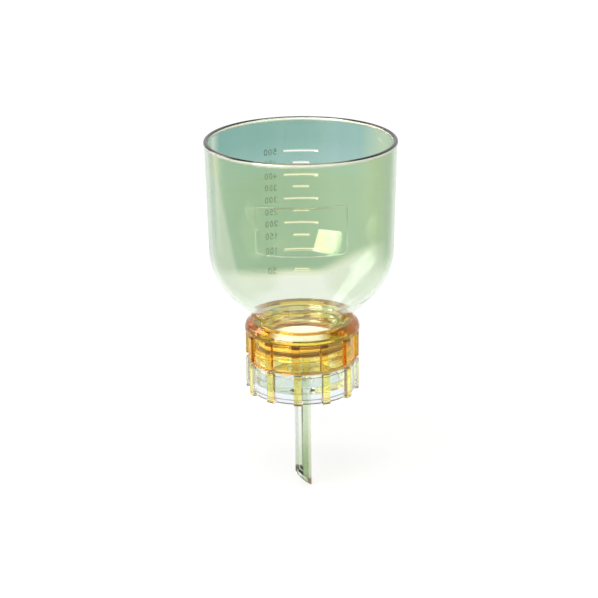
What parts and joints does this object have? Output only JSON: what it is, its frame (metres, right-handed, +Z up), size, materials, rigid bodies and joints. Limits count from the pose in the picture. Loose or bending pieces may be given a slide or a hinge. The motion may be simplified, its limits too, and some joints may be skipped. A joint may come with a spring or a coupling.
{
  "type": "vacuum filtration unit",
  "caption": "Clear plastic vacuum filter holder: a graduated funnel clamped by a ribbed amber screw ring on a ribbed base with a bevelled outlet stem.",
  "frame": {"origin": "on the axis, in the plane of the base skirt's foot, where the outlet stem leaves the base", "axes": "+Z up along the axis towards the funnel's rim; -Y is the front, with the raised panel; +X is the long side of the stem's bevelled tip"},
  "size_m": [0.1032, 0.1032, 0.1979],
  "materials": {
    "clear_base": "clear, faintly yellow-green moulded plastic",
    "clear_funnel": "clear, faintly green moulded plastic",
    "amber_ring": "clear amber moulded plastic",
    "silicone": "soft red silicone rubber",
    "white_plastic": "white moulded plastic",
    "membrane_white": "white porous membrane"
  },
  "bodies": {
    "base": {"base": "clear_base", "base_seal": "silicone", "support_screen": "white_plastic", "membrane": "membrane_white"},
    "funnel": {"funnel": "clear_funnel", "funnel_seal": "silicone"},
    "ring": {"lock_ring": "amber_ring"}
  },
  "joints": [
    {"name": "funnel_lift", "type": "slide", "parent": "base", "child": "funnel", "axis": [0, 0, 1], "range_m": [0, 0.00625]},
    {"name": "ring_turn", "type": "hinge", "parent": "funnel", "child": "ring", "pos_m": [0, 0, 0.028], "axis": [0, 0, 1], "range_deg": [0, 450]}
  ],
  "couplings": [
    {"joint": "ring_turn", "follows": "funnel_lift", "rad_per_m": 1256.6}
  ]
}
